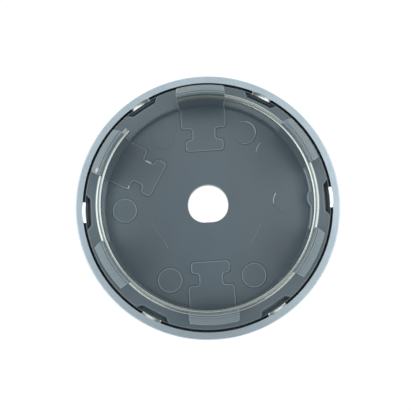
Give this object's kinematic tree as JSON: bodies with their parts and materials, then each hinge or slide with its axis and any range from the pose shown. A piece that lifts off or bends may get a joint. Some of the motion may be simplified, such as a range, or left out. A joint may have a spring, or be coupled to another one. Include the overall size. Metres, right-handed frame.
{
  "type": "wheel centre cap",
  "caption": "Round snap-in wheel centre cap, face down: a plated trim ring holds a grey clip base with barbed prongs, a split spring wire and a D-shaped hole.",
  "frame": {"origin": "middle of the front face, on the plane that the cap lies on", "axes": "+Z along the cap's axis from the front face to the clip prongs, -Y towards the flat of the D-shaped hole"},
  "size_m": [0.065, 0.065, 0.0136],
  "materials": {
    "plated_trim": "satin silver plating on ABS",
    "grey_plastic": "moulded grey plastic with a slight sheen",
    "spring_steel": "bright drawn spring steel wire"
  },
  "bodies": {
    "root": {"trim_ring": "plated_trim", "clip_base": "grey_plastic", "spring_wire": "spring_steel"}
  },
  "joints": []
}
